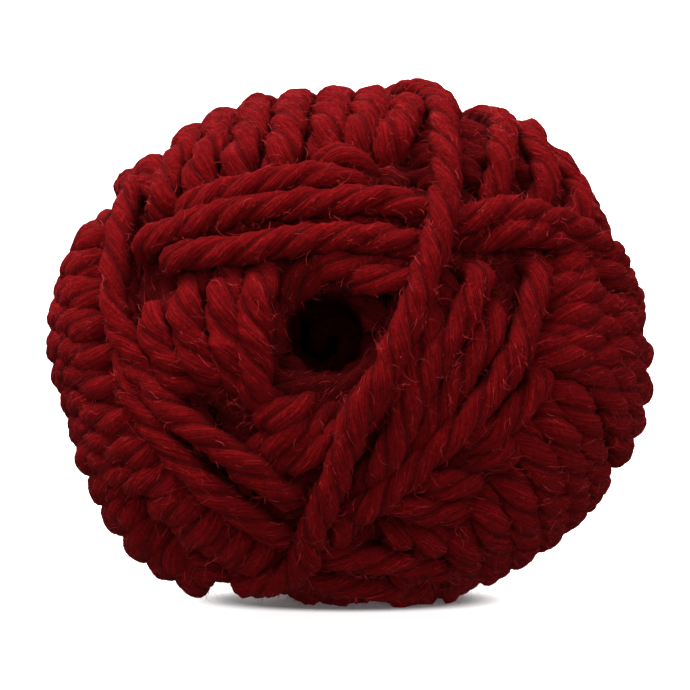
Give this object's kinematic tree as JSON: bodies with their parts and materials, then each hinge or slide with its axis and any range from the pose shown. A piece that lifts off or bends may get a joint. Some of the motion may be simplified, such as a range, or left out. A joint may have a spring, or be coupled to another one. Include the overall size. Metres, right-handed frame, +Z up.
{
  "type": "ball of chunky yarn",
  "caption": "Machine-wound centre-pull ball of thick plied yarn, lying on its side with the pull hole facing forward.",
  "frame": {"origin": "middle of the box's underside, on the table", "axes": "+Z up, -Y toward the viewer and the pull hole, +X to the viewer's right"},
  "size_m": [0.1104, 0.102, 0.0967],
  "materials": {
    "yarn": "matte fuzzy dark red wool"
  },
  "bodies": {
    "root": {"yarn_ball": "yarn"}
  },
  "joints": []
}
